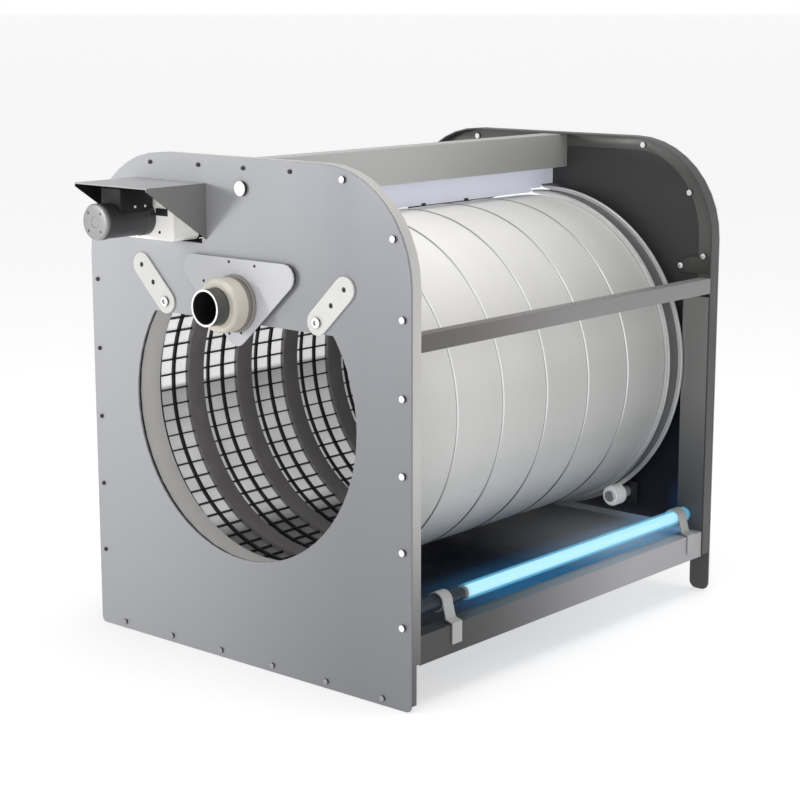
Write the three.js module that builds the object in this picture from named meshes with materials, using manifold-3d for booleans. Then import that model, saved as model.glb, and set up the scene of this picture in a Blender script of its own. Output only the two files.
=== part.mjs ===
// Rotary drum filter for ponds and fish tanks, with its side covers and lid off.
// Millimetres, +Z up. The drum turns about an axis along Y. The front plate looks towards -Y.
import * as THREE from 'three';
import { mergeVertices } from 'three/addons/utils/BufferGeometryUtils.js';
import Module from 'manifold-3d';

const wasm = await Module();
wasm.setup();

// ---- driving dimensions -------------------------------------------------------------------
const GAP = 0.3; // clearance between touching pieces
const HALF_WIDTH = 300;
const HEIGHT = 700;
const DEPTH = 720; // front face of the front plate to rear face of the rear plate
const CORNER = 150; // radius of the two top corners
const SHEET = 3; // end plates
const THIN = 2; // folded sheet pieces

const AXIS_Z = 358; // height of the drum axis
const INLET = 208; // radius of the inlet opening
const INLET_TOP = 480; // flat top edge of the inlet opening
const WINDOW = { x0: -206, x1: -71, z0: 581, z1: 660 };

const RIM = { sheet: 2.5, front: 17, frontLow: 9, rear: 19 }; // depths of the flanges behind the plates
const FOOT = { height: 60, width: 34, corner: 12, frontCorner: 8, fillet: 18 };
const RAIL = {
  y0: SHEET + RIM.front + 2 * GAP,
  y1: DEPTH - SHEET - RIM.rear - 2 * GAP,
  mid: { outer: HALF_WIDTH, z0: 470, z1: 493, leg: 20 },
  lower: { outer: 298, z0: 59, z1: 99, leg: 25 },
};
const POST = { x0: 252, top: 464 };
const TRAY = { half: 293, lipHalf: 268, top: 96.7, lip: 9 }; // just under the legs of the lower rails
const COVER = { left: -15, leftEdge: 655, right: 17, rightEdge: 645 };
const GUARD = { x0: -12.7, x1: -10.7, y0: 58, top: 690, clearance: 2.5 };

const SEGMENTS = 40; // round the drum
const PITCH = 100.4; // from one drum panel to the next
const PANELS = 6;
const HOOP = { inner: 226, outer: 242.4, width: 30, first: 131 };
const LATTICE = { inner: 228, outer: 241 };
const SCREEN = { inner: 243, outer: 246, y0: 46, y1: 661 };
const FRONT_RING = { inner: 217, outer: 234, y0: 8, y1: 51 };
const REAR_RING = { y0: 662, y1: 695, floor: 250, frontLip: 252, lip: 257, lipWidth: 5 };

const GEAR = { module: 6, drumTeeth: 82, pinionTeeth: 17, y0: 29, y1: 45 };
const PINION_DIRECTION = new THREE.Vector2(-158, 253).normalize();
const GEAR_DISTANCE = GEAR.module * (GEAR.drumTeeth + GEAR.pinionTeeth) / 2;
const PINION = {
  x: PINION_DIRECTION.x * GEAR_DISTANCE,
  z: AXIS_Z + PINION_DIRECTION.y * GEAR_DISTANCE,
  bore: 8.3,
  shaft: 8,
};
const MOTOR = { x: -164, z: 612, radius: 24.7, front: -109, capDepth: 6 };
const GEARBOX = { x0: -202, x1: -105, z0: 582, z1: 658, y0: -20, y1: 27, chamfer: 4 };

const HOOD = { x0: -205, x1: -62, tip: -107, top: 663, side: 1.5, tipDrop: 5, low: 587 };

const WASTE = { z: 507, outer: 25, inner: 22, front: -66 };
const TROUGH = { y0: 24, y1: 640, half: 60, rim: 562, shoulder: 535, floor: 480.5, floorHalf: 26 };
const COUPLING = { y0: -45, y1: -13.3, radius: 36.5, chamfer: 2.5 };
const NUT = { y0: -13, y1: -8.3, radius: 39 };
const BRACKET = { y0: -8, y1: -5.5, round: 18, foot: 467, left: -82, right: 88, top: 549, spacer: 30 };
const LINK = { angle: Math.PI / 4, half: 17, length: 67, middleHole: 35, hole: 3.5 };
const GUIDE = { radius: 18, y0: 14, y1: 34, bore: 5.3, axle: 5 };
const GUIDE_DISTANCE = FRONT_RING.inner * Math.cos(Math.PI / SEGMENTS) - GUIDE.radius - GAP;
const GUIDE_DIRECTION = new THREE.Vector2(149, 143).normalize();
const ROLLER = { radius: 16, x: 148, y0: 668.5, y1: 688.5, bore: 6.3, axle: 6, collar: 9 };
const ROLLER_Z = AXIS_Z - Math.sqrt((REAR_RING.floor + ROLLER.radius + GAP) ** 2 - ROLLER.x ** 2);
const LAMP = { x: 270, z: 124, sleeve: 11.5, core: 8, y0: 6, y1: 694 };
const CLIP = { width: 20, front: 85, rear: 655, foot: 72 };
const SPRAY = { x: 7, z: 660, radius: 6.5, hole: 7, firstNozzle: 81 };
const NOZZLE = { top: 3.5, bottom: 5, length: 12, sink: 3 };

// ---- looks --------------------------------------------------------------------------------
const LOOKS = {
  plate: { color: 0x9a9da3, roughness: 0.42, metalness: 0.75 },
  rim: { color: 0xb4b6ba, roughness: 0.38, metalness: 0.8 },
  rail: { color: 0x8f9194, roughness: 0.4, metalness: 0.8 },
  cover: { color: 0x8c8f94, roughness: 0.4, metalness: 0.75 },
  rear: { color: 0x55575b, roughness: 0.5, metalness: 0.6 },
  tray: { color: 0x1a2234, roughness: 0.45, metalness: 0.4 },
  nylon: { color: 0xf0efea, roughness: 0.5, metalness: 0 },
  cream: { color: 0xe6e2d6, roughness: 0.45, metalness: 0 },
  pipe: { color: 0x55585c, roughness: 0.5, metalness: 0 },
  dark: { color: 0x2b2d30, roughness: 0.5, metalness: 0.3 },
  motor: { color: 0x44474b, roughness: 0.45, metalness: 0.6 },
  steel: { color: 0xc2c4c6, roughness: 0.3, metalness: 0.9 },
  hoop: { color: 0x5b5d60, roughness: 0.55, metalness: 0.2 },
  lattice: { color: 0x17181a, roughness: 0.5, metalness: 0 },
  screen: { color: 0xc9c8c5, roughness: 0.5, metalness: 0.4 },
  gear: { color: 0x3a3c3f, roughness: 0.55, metalness: 0 },
  glass: { color: 0xbfe6f2, roughness: 0.05, metalness: 0 },
  lamp: { color: 0x8fe4ff, roughness: 0.3, metalness: 0 },
  rubber: { color: 0x202124, roughness: 0.8, metalness: 0 },
};

const model = new THREE.Group();
model.name = 'rotary_drum_filter';
const midDepth = (MOTOR.front + DEPTH) / 2;
model.position.y = -midDepth; // the origin is under the middle of the whole object

// ---- making solids ------------------------------------------------------------------------
const AXES = {
  // shape x, shape y and extrusion turned to run along these directions
  alongY: [[1, 0, 0], [0, 0, 1], [0, -1, 0]],
  alongX: [[0, 1, 0], [0, 0, 1], [1, 0, 0]],
};

function turned(geometry, axes) {
  const [a, b, c] = axes.map((v) => new THREE.Vector3(...v));
  return geometry.applyMatrix4(new THREE.Matrix4().makeBasis(a, b, c));
}

function plate(shape, y0, y1, curveSegments = 12) {
  const flat = new THREE.ExtrudeGeometry(shape, { depth: y1 - y0, bevelEnabled: false, curveSegments });
  return turned(flat, AXES.alongY).translate(0, y1, 0);
}

function sidePlate(shape, x0, x1) {
  const flat = new THREE.ExtrudeGeometry(shape, { depth: x1 - x0, bevelEnabled: false });
  return turned(flat, AXES.alongX).translate(x0, 0, 0);
}

function upright(shape, z0, z1) {
  return new THREE.ExtrudeGeometry(shape, { depth: z1 - z0, bevelEnabled: false }).translate(0, 0, z0);
}

function box(x0, x1, y0, y1, z0, z1) {
  const block = new THREE.BoxGeometry(x1 - x0, y1 - y0, z1 - z0);
  return block.translate((x0 + x1) / 2, (y0 + y1) / 2, (z0 + z1) / 2);
}

// A closed profile of [radius, y] points turned about a line along Y.
function turnedRing(profile, x, z, segments = SEGMENTS) {
  const points = [...profile, profile[0]].map(([r, y]) => new THREE.Vector2(r, y));
  return outward(new THREE.LatheGeometry(points, segments).translate(x, 0, z));
}

// A profile that starts and ends on its axis.
function turnedSolid(profile, x, z, segments = 24) {
  const points = profile.map(([r, y]) => new THREE.Vector2(r, y));
  return outward(new THREE.LatheGeometry(points, segments).translate(x, 0, z));
}

function tube(inner, outer, y0, y1, x, z, segments = SEGMENTS) {
  return turnedRing([[inner, y0], [outer, y0], [outer, y1], [inner, y1]], x, z, segments);
}

function rod(radius, y0, y1, x, z, segments = 24) {
  return turnedSolid([[0, y0], [radius, y0], [radius, y1], [0, y1]], x, z, segments);
}

// Merged vertices, and faces that point out of the solid.
function outward(geometry) {
  geometry.deleteAttribute('normal');
  geometry.deleteAttribute('uv');
  const merged = mergeVertices(geometry, 1e-4);
  const at = merged.attributes.position;
  const index = Array.from(merged.index.array);
  const corner = (i) => new THREE.Vector3().fromBufferAttribute(at, i);
  const kept = [];
  let volume = 0;
  for (let i = 0; i < index.length; i += 3) {
    const [a, b, c] = index.slice(i, i + 3);
    if (a === b || b === c || c === a) continue;
    kept.push([a, b, c]);
    volume += corner(a).dot(corner(b).cross(corner(c)));
  }
  const faces = volume < 0 ? kept.map(([a, b, c]) => [a, c, b]) : kept;
  merged.setIndex(faces.flat());
  return merged;
}

function solid(geometry) {
  const merged = outward(geometry.clone());
  const vertProperties = new Float32Array(merged.attributes.position.array);
  const triVerts = new Uint32Array(merged.index.array);
  return new wasm.Manifold(new wasm.Mesh({ numProp: 3, vertProperties, triVerts }));
}

function surface(manifold) {
  const mesh = manifold.getMesh();
  const geometry = new THREE.BufferGeometry();
  geometry.setAttribute('position', new THREE.BufferAttribute(new Float32Array(mesh.vertProperties), 3));
  geometry.setIndex(Array.from(mesh.triVerts));
  return geometry;
}

function joined(...pieces) {
  return surface(pieces.map(solid).reduce((whole, piece) => whole.add(piece)));
}

function cut(piece, ...tools) {
  return surface(tools.map(solid).reduce((whole, tool) => whole.subtract(tool), solid(piece)));
}

function add(name, geometry, look) {
  const mesh = new THREE.Mesh(geometry, new THREE.MeshStandardMaterial(LOOKS[look]));
  geometry.computeVertexNormals();
  mesh.name = name;
  model.add(mesh);
}

// ---- outlines -----------------------------------------------------------------------------
// A closed outline, with points that fall on their neighbour left out.
function polygon(points) {
  const all = points.map(([x, y]) => new THREE.Vector2(x, y));
  return new THREE.Shape(all.filter((p, i) => p.distanceTo(all[(i + 1) % all.length]) > 0.01));
}

function circle(x, z, radius) {
  return new THREE.Path().absarc(x, z, radius, 0, 2 * Math.PI, false);
}

// A sheet of even thickness that follows an open run of points, on the left of the run.
function strip(points, thickness) {
  const run = points.map(([x, y]) => new THREE.Vector2(x, y));
  const normals = run.slice(1).map((p, i) => {
    const d = p.clone().sub(run[i]).normalize();
    return new THREE.Vector2(-d.y, d.x);
  });
  const inner = run.map((p, i) => {
    const before = normals[Math.max(i - 1, 0)];
    const after = normals[Math.min(i, normals.length - 1)];
    const bisector = before.clone().add(after).normalize();
    return p.clone().addScaledVector(bisector, thickness / bisector.dot(after));
  });
  return new THREE.Shape([...run, ...inner.reverse()]);
}

// The arch that both end plates share, from low on the left, over the top, to low on the right.
function archPoints(inset, zLow) {
  const left = -HALF_WIDTH + inset;
  const radius = CORNER - inset;
  const centreZ = HEIGHT - CORNER;
  const centreX = -HALF_WIDTH + CORNER;
  const steps = 10;
  const points = [[left, zLow]];
  for (let i = 0; i <= steps; i += 1) {
    const angle = Math.PI - (Math.PI / 2) * (i / steps);
    points.push([centreX + radius * Math.cos(angle), centreZ + radius * Math.sin(angle)]);
  }
  const mirrored = points.map(([x, z]) => [-x, z]).reverse();
  return [...points, ...mirrored];
}

function archBand(inset, zLow) {
  return polygon([...archPoints(inset, zLow), ...archPoints(inset + RIM.sheet, zLow).reverse()]);
}

function roundedCorner(x, z, radius, from, to, steps = 3) {
  return Array.from({ length: steps + 1 }, (_, i) => {
    const angle = from + (to - from) * (i / steps);
    return [x + radius * Math.cos(angle), z + radius * Math.sin(angle)];
  });
}

function guideCentre(side) {
  return [side * GUIDE_DIRECTION.x * GUIDE_DISTANCE, AXIS_Z + GUIDE_DIRECTION.y * GUIDE_DISTANCE];
}

// ---- end plates and frame -----------------------------------------------------------------
function frontPlate() {
  const corner = FOOT.frontCorner;
  const right = HALF_WIDTH - corner;
  const shape = polygon([
    ...archPoints(0, corner),
    ...roundedCorner(right, corner, corner, 0, -Math.PI / 2),
    ...roundedCorner(-right, corner, corner, -Math.PI / 2, -Math.PI),
  ]);
  const drill = (radius, x, z, sides) => rod(radius, -1, SHEET + 1, x, z, sides);
  const aboveInlet = box(-INLET, INLET, -2, SHEET + 2, INLET_TOP, AXIS_Z + INLET + 1);
  return cut(
    plate(shape, 0, SHEET),
    cut(drill(INLET, 0, AXIS_Z, 64), aboveInlet),
    box(WINDOW.x0, WINDOW.x1, -1, SHEET + 1, WINDOW.z0, WINDOW.z1),
    drill(WASTE.outer + 1, 0, WASTE.z, 32),
    drill(SPRAY.hole, SPRAY.x, SPRAY.z, 16),
    drill(GUIDE.bore, ...guideCentre(-1), 16),
    drill(GUIDE.bore, ...guideCentre(1), 16),
  );
}

// The flange behind the front plate is shallower beside its feet.
function frontRim() {
  const y0 = SHEET + GAP;
  const side = HALF_WIDTH + 1;
  const band = plate(archBand(0, FOOT.frontCorner), y0, y0 + RIM.front);
  const notch = box(-side, side, y0 + RIM.frontLow, y0 + RIM.front + 1, 0, FOOT.height + 2);
  return cut(band, notch);
}

function rearPlate() {
  const inner = HALF_WIDTH - FOOT.width;
  const { height, corner, fillet } = FOOT;
  const foot = [
    ...roundedCorner(HALF_WIDTH - corner, corner, corner, 0, -Math.PI / 2, 5),
    ...roundedCorner(inner + corner, corner, corner, -Math.PI / 2, -Math.PI, 5),
    ...roundedCorner(inner - fillet, height - fillet, fillet, 0, Math.PI / 2),
  ];
  const mirrored = foot.map(([x, z]) => [-x, z]).reverse();
  const outline = polygon([...archPoints(0, corner), ...foot, ...mirrored]);
  return plate(outline, DEPTH - SHEET, DEPTH);
}

function rearRim() {
  const y1 = DEPTH - SHEET - GAP;
  return plate(archBand(0, FOOT.height + 2), y1 - RIM.rear, y1);
}

function rearPost(side) {
  const x1 = HALF_WIDTH - RIM.sheet - GAP;
  const y1 = DEPTH - SHEET - GAP;
  const y0 = y1 - RIM.rear;
  const angle = [[POST.x0, y1], [POST.x0, y0], [x1, y0]];
  const run = side > 0 ? angle : angle.map(([x, y]) => [-x, y]).reverse();
  return upright(strip(run, THIN), FOOT.height + 2, POST.top);
}

function rail(side, { outer, z0, z1, leg }) {
  const angle = [[outer, z0], [outer, z1], [outer - leg, z1]];
  const run = side > 0 ? angle : angle.map(([x, z]) => [-x, z]).reverse();
  return plate(strip(run, THIN), RAIL.y0, RAIL.y1);
}

function floorTray() {
  const { half, lipHalf, top, lip } = TRAY;
  const sheet = box(-half, half, RAIL.y0, RAIL.y1, top - THIN, top);
  const upstand = box(-lipHalf, lipHalf, RAIL.y1 - THIN, RAIL.y1, top - THIN, top + lip);
  return joined(sheet, upstand);
}

// ---- spray bar and its covers -------------------------------------------------------------
function sprayCover() {
  const { left, leftEdge, right, rightEdge } = COVER;
  const top = HEIGHT - RIM.sheet - GAP;
  const run = [[right, rightEdge], [right, top], [left, top], [left, leftEdge]];
  return plate(strip(run, THIN), SHEET + GAP, DEPTH - SHEET - GAP);
}

// Its lower edge steps up over the two lips of the drum's rear ring.
function splashGuard() {
  const { x0, x1, y0, top, clearance } = GUARD;
  const y1 = DEPTH - SHEET - GAP;
  const ring = REAR_RING.y0 - clearance;
  const rearLip = REAR_RING.y1 - REAR_RING.lipWidth - clearance;
  const [low, middle, high] = [SCREEN.outer, REAR_RING.frontLip, REAR_RING.lip]
    .map((radius) => AXIS_Z + radius + clearance);
  const steps = [[ring, low], [ring, middle], [rearLip, middle], [rearLip, high]];
  const outline = polygon([[y0, low], ...steps, [y1, high], [y1, top], [y0, top]]);
  return sidePlate(outline, x0, x1);
}

function sprayBar() {
  const bar = rod(SPRAY.radius, SHEET + GAP, DEPTH - SHEET - GAP, SPRAY.x, SPRAY.z, 16);
  const nozzles = Array.from({ length: PANELS }, (_, i) => {
    const { top, bottom, length, sink } = NOZZLE;
    const nozzle = new THREE.CylinderGeometry(top, bottom, length, 12).rotateX(Math.PI / 2);
    return nozzle.translate(SPRAY.x, SPRAY.firstNozzle + PITCH * i, SPRAY.z - SPRAY.radius - sink);
  });
  return joined(bar, ...nozzles);
}

function sprayBarPlug() {
  const profile = [[0, -6], [8, -6], [10, -4], [10, -GAP], [6, -GAP], [6, SHEET], [0, SHEET]];
  return turnedSolid(profile, SPRAY.x, SPRAY.z, 20);
}

// ---- waste outlet -------------------------------------------------------------------------
function wasteTrough() {
  const { y0, y1, half, rim, shoulder, floor, floorHalf } = TROUGH;
  const right = [[floorHalf, floor], [half, shoulder], [half, rim]];
  const run = [...right.map(([x, z]) => [-x, z]).reverse(), ...right];
  const end = polygon(run);
  const front = plate(end, y0, y0 + THIN);
  const rear = plate(end, y1 - THIN, y1);
  const channel = plate(strip(run, THIN), y0, y1);
  return cut(joined(channel, front, rear), rod(WASTE.outer + GAP, y0 - 1, y0 + 5, 0, WASTE.z));
}

function wastePipe() {
  return tube(WASTE.inner, WASTE.outer, WASTE.front, TROUGH.y0 + THIN, 0, WASTE.z, 32);
}

function wasteCoupling() {
  const { y0, y1, radius, chamfer } = COUPLING;
  const bore = WASTE.outer + GAP;
  const profile = [[bore, y0], [radius - chamfer, y0], [radius, y0 + chamfer], [radius, y1], [bore, y1]];
  return turnedRing(profile, 0, WASTE.z, 32);
}

function wasteNut() {
  return tube(WASTE.outer + GAP, NUT.radius, NUT.y0, NUT.y1, 0, WASTE.z, 32);
}

// A triangular plate with its point down, held off the front plate on a spacer ring.
function wasteBracket() {
  const { y0, y1, round, foot, left, right, top, spacer } = BRACKET;
  const slope = Math.PI / 4;
  const shape = polygon([
    ...roundedCorner(0, foot, round, -3 * slope, -slope, 5),
    ...roundedCorner(right, top, round, -slope, 2 * slope, 6),
    ...roundedCorner(left, top, round, 2 * slope, 5 * slope, 6),
  ]);
  shape.holes.push(circle(0, WASTE.z, WASTE.outer + GAP));
  const standOff = tube(WASTE.outer + GAP, spacer, y1 - 0.1, -GAP, 0, WASTE.z, 24);
  return joined(plate(shape, y0, y1, 24), standOff);
}

// ---- drum carriers at the front -----------------------------------------------------------
function linkPlate(side) {
  const { angle, half, length, middleHole, hole } = LINK;
  const along = new THREE.Vector2(side * Math.cos(angle), Math.sin(angle));
  const tilt = Math.atan2(along.y, along.x);
  const [x, z] = guideCentre(side);
  const at = (reach) => [x + along.x * reach, z + along.y * reach];
  const shape = polygon([
    ...roundedCorner(...at(length), half, tilt - Math.PI / 2, tilt + Math.PI / 2, 8),
    ...roundedCorner(x, z, half, tilt + Math.PI / 2, tilt + 1.5 * Math.PI, 8),
  ]);
  shape.holes.push(circle(x, z, GUIDE.bore));
  for (const reach of [middleHole, length]) shape.holes.push(circle(...at(reach), hole));
  return plate(shape, -SHEET - GAP, -GAP);
}

function guideWheel(side) {
  return tube(GUIDE.bore, GUIDE.radius, GUIDE.y0, GUIDE.y1, ...guideCentre(side), 24);
}

// Shoulder bolt: low head in front of the link plate, collar and washer round the wheel.
function guideAxle(side) {
  const profile = [
    [0, -6.6], [7, -6.6], [7, -SHEET - 2 * GAP], [GUIDE.axle, -SHEET - 2 * GAP], [GUIDE.axle, SHEET + GAP],
    [9, SHEET + GAP], [9, GUIDE.y0 - GAP], [GUIDE.axle, GUIDE.y0 - GAP], [GUIDE.axle, GUIDE.y1 + GAP],
    [9, GUIDE.y1 + GAP], [9, GUIDE.y1 + 3], [0, GUIDE.y1 + 3],
  ];
  return turnedSolid(profile, ...guideCentre(side), 16);
}

function inletSeal() {
  const top = box(-260, 260, 0, 20, INLET_TOP - 2, 720);
  return cut(tube(INLET + 2, INLET + 12, SHEET + GAP, FRONT_RING.y0 - GAP, 0, AXIS_Z), top);
}

// ---- drive --------------------------------------------------------------------------------
function motorHood() {
  const { x0, x1, tip, top, side, tipDrop, low } = HOOD;
  const gusset = polygon([[-GAP, top], [tip, top], [tip, top - tipDrop], [-GAP, low]]);
  const sheet = box(x0, x1, tip, -GAP, top - THIN, top);
  return joined(sheet, sidePlate(gusset, x0, x0 + side), sidePlate(gusset, x1 - side, x1));
}

function motorBody() {
  return rod(MOTOR.radius, MOTOR.front + MOTOR.capDepth, GEARBOX.y0 - GAP, MOTOR.x, MOTOR.z, 32);
}

function motorEndCap() {
  const r = MOTOR.radius;
  const y0 = MOTOR.front;
  const y1 = y0 + MOTOR.capDepth - GAP;
  const profile = [[0, y0], [r - 3, y0], [r, y0 + 3], [r, y1], [0, y1]];
  return turnedSolid(profile, MOTOR.x, MOTOR.z, 32);
}

function gearbox() {
  const { x0, x1, z0, z1, y0, y1, chamfer: c } = GEARBOX;
  const face = polygon([
    [x0 + c, z0], [x1 - c, z0], [x1, z0 + c], [x1, z1 - c],
    [x1 - c, z1], [x0 + c, z1], [x0, z1 - c], [x0, z0 + c],
  ]);
  return plate(face, y0, y1);
}

// Straight-sided teeth, narrow enough to run with backlash.
function gearShape(teeth, phase) {
  const pitchRadius = GEAR.module * teeth / 2;
  const root = pitchRadius - 7;
  const tip = pitchRadius + 5;
  const step = 2 * Math.PI / teeth;
  const points = [];
  for (let i = 0; i < teeth; i += 1) {
    for (const [turn, radius] of [[-0.3, root], [-0.11, tip], [0.11, tip], [0.3, root]]) {
      const angle = phase + (i + turn) * step;
      points.push([radius * Math.cos(angle), radius * Math.sin(angle)]);
    }
  }
  return points;
}

const LINE_OF_CENTRES = Math.atan2(PINION_DIRECTION.y, PINION_DIRECTION.x);

function ringGear() {
  const shape = polygon(gearShape(GEAR.drumTeeth, LINE_OF_CENTRES).map(([x, z]) => [x, z + AXIS_Z]));
  const seat = rod(FRONT_RING.outer + GAP, GEAR.y0 - 1, GEAR.y1 + 1, 0, AXIS_Z, SEGMENTS);
  return cut(plate(shape, GEAR.y0, GEAR.y1), seat);
}

function pinion() {
  const facing = LINE_OF_CENTRES + Math.PI + Math.PI / GEAR.pinionTeeth;
  const placed = ([x, z]) => [x + PINION.x, z + PINION.z];
  const shape = polygon(gearShape(GEAR.pinionTeeth, facing).map(placed));
  shape.holes.push(circle(PINION.x, PINION.z, PINION.bore));
  return plate(shape, GEAR.y0, GEAR.y1);
}

function pinionShaft() {
  return rod(PINION.shaft, GEARBOX.y1 + GAP, GEAR.y1 + 4, PINION.x, PINION.z, 16);
}

// ---- drum ---------------------------------------------------------------------------------
function drumFrontRing() {
  const { inner, outer, y0, y1 } = FRONT_RING;
  const seat = SCREEN.y0;
  const step = [[outer, seat], [HOOP.outer, seat], [HOOP.outer, y1]];
  return turnedRing([[inner, y0], [outer, y0], ...step, [inner, y1]], 0, AXIS_Z);
}

function hoopStart(i) {
  return HOOP.first + PITCH * i - HOOP.width / 2;
}

function hoop(i) {
  return tube(HOOP.inner, HOOP.outer, hoopStart(i), hoopStart(i) + HOOP.width, 0, AXIS_Z);
}

function lattice(i) {
  const y0 = i === 0 ? FRONT_RING.y1 : hoopStart(i - 1) + HOOP.width;
  return tube(LATTICE.inner, LATTICE.outer, y0 + GAP, hoopStart(i) - GAP, 0, AXIS_Z, 24);
}

function drumRearRing() {
  const { y0, y1, floor, frontLip, lip, lipWidth } = REAR_RING;
  const neck = hoopStart(PANELS - 1) + HOOP.width + GAP;
  return turnedRing([
    [HOOP.inner, neck], [HOOP.outer, neck], [HOOP.outer, y0], [frontLip, y0], [frontLip, y0 + lipWidth],
    [floor, y0 + lipWidth], [floor, y1 - lipWidth], [lip, y1 - lipWidth], [lip, y1], [HOOP.inner, y1],
  ], 0, AXIS_Z);
}

function drumRearDisc() {
  return rod(HOOP.inner - GAP - 1, 684, 688, 0, AXIS_Z, SEGMENTS);
}

function rearRoller(side) {
  return tube(ROLLER.bore, ROLLER.radius, ROLLER.y0, ROLLER.y1, side * ROLLER.x, ROLLER_Z, 32);
}

function rollerAxle(side) {
  const { axle, collar, y0, y1 } = ROLLER;
  const end = DEPTH - SHEET - GAP;
  const head = y0 - 6;
  const shoulder = end - 6 - GAP;
  const profile = [
    [0, head], [collar, head], [collar, y0 - GAP], [axle, y0 - GAP], [axle, y1 + GAP],
    [collar, y1 + GAP], [collar, shoulder], [axle, shoulder], [axle, end], [0, end],
  ];
  return turnedSolid(profile, side * ROLLER.x, ROLLER_Z, 16);
}

function rollerBracket(side) {
  const [x, z] = [side * ROLLER.x, ROLLER_Z];
  const pad = polygon([[x - 20, z - 18], [x + 20, z - 18], [x + 20, z + 18], [x - 20, z + 18]]);
  pad.holes.push(circle(x, z, ROLLER.bore));
  return plate(pad, DEPTH - SHEET - GAP - 6, DEPTH - SHEET - GAP);
}

// ---- lamp ---------------------------------------------------------------------------------
function quartzSleeve() {
  const inner = LAMP.sleeve - 1.5;
  const { y0, y1, sleeve } = LAMP;
  const profile = [[inner, y0], [sleeve, y0], [sleeve, y1 - 4], [0, y1], [0, y1 - 2], [inner, y1 - 6]];
  return turnedRing(profile, LAMP.x, LAMP.z, 20);
}

function lampTube() {
  return rod(LAMP.core, LAMP.y0 + 6, 670, LAMP.x, LAMP.z, 16);
}

// A band round the sleeve, on a leg that comes down over the outside of the lower rail.
function lampClip(y0) {
  const inner = LAMP.sleeve + GAP;
  const y1 = y0 + CLIP.width;
  const band = tube(inner, inner + THIN, y0, y1, LAMP.x, LAMP.z, 20);
  const knee = [[HALF_WIDTH - 11, RAIL.lower.z1 + 5], [HALF_WIDTH, RAIL.lower.z1 + 2]];
  const run = [[LAMP.x + inner + 1, LAMP.z + 3], ...knee, [HALF_WIDTH, CLIP.foot]];
  const leg = plate(strip(run, -1.7), y0, y1);
  return joined(band, leg);
}

// ---- assembly -----------------------------------------------------------------------------
const SIDES = { left: -1, right: 1 };

add('front_plate', frontPlate(), 'plate');
add('front_rim', frontRim(), 'rim');
add('rear_plate', rearPlate(), 'rear');
add('rear_rim', rearRim(), 'rim');
for (const [name, side] of Object.entries(SIDES)) {
  add(`rear_post_${name}`, rearPost(side), 'rail');
  add(`mid_rail_${name}`, rail(side, RAIL.mid), 'rail');
  add(`lower_rail_${name}`, rail(side, RAIL.lower), 'rail');
  add(`link_plate_${name}`, linkPlate(side), 'nylon');
  add(`guide_axle_${name}`, guideAxle(side), 'steel');
  add(`guide_wheel_${name}`, guideWheel(side), 'nylon');
  add(`rear_roller_${name}`, rearRoller(side), 'nylon');
  add(`roller_axle_${name}`, rollerAxle(side), 'steel');
  add(`roller_bracket_${name}`, rollerBracket(side), 'rail');
}
add('floor_tray', floorTray(), 'tray');
add('spray_cover', sprayCover(), 'cover');
add('splash_guard', splashGuard(), 'rim');
add('spray_bar', sprayBar(), 'steel');
add('spray_bar_plug', sprayBarPlug(), 'nylon');
add('waste_trough', wasteTrough(), 'steel');
add('waste_pipe', wastePipe(), 'pipe');
add('waste_coupling', wasteCoupling(), 'cream');
add('waste_nut', wasteNut(), 'dark');
add('waste_bracket', wasteBracket(), 'nylon');
add('inlet_seal', inletSeal(), 'rubber');
add('motor_hood', motorHood(), 'cover');
add('motor_body', motorBody(), 'motor');
add('motor_end_cap', motorEndCap(), 'steel');
add('gearbox', gearbox(), 'nylon');
add('pinion', pinion(), 'gear');
add('pinion_shaft', pinionShaft(), 'steel');
add('ring_gear', ringGear(), 'gear');
add('drum_front_ring', drumFrontRing(), 'rim');
for (let i = 0; i < PANELS; i += 1) {
  add(`hoop_${i + 1}`, hoop(i), 'hoop');
  add(`lattice_${i + 1}`, lattice(i), 'lattice');
}
add('screen', tube(SCREEN.inner, SCREEN.outer, SCREEN.y0 + GAP, SCREEN.y1, 0, AXIS_Z), 'screen');
add('drum_rear_ring', drumRearRing(), 'steel');
add('drum_rear_disc', drumRearDisc(), 'rear');
add('quartz_sleeve', quartzSleeve(), 'glass');
add('lamp_tube', lampTube(), 'lamp');
add('lamp_clip_front', lampClip(CLIP.front), 'rail');
add('lamp_clip_rear', lampClip(CLIP.rear), 'rail');

export default model;
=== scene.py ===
import math
import random

import bmesh
import bpy
from mathutils import Matrix, Vector


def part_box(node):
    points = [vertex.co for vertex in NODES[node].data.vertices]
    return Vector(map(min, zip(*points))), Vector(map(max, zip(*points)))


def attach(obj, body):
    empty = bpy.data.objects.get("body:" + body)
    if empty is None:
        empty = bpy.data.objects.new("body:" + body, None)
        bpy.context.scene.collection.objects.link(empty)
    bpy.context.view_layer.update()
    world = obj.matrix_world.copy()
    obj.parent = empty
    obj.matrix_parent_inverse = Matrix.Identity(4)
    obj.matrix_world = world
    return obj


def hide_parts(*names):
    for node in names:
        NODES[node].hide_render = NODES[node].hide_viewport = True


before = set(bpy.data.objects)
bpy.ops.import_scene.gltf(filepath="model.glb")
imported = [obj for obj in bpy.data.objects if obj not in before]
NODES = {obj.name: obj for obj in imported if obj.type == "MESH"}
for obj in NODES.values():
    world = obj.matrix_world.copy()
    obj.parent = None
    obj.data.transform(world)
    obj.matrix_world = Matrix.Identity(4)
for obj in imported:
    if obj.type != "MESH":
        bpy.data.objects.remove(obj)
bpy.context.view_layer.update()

MM = 0.001

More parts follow.
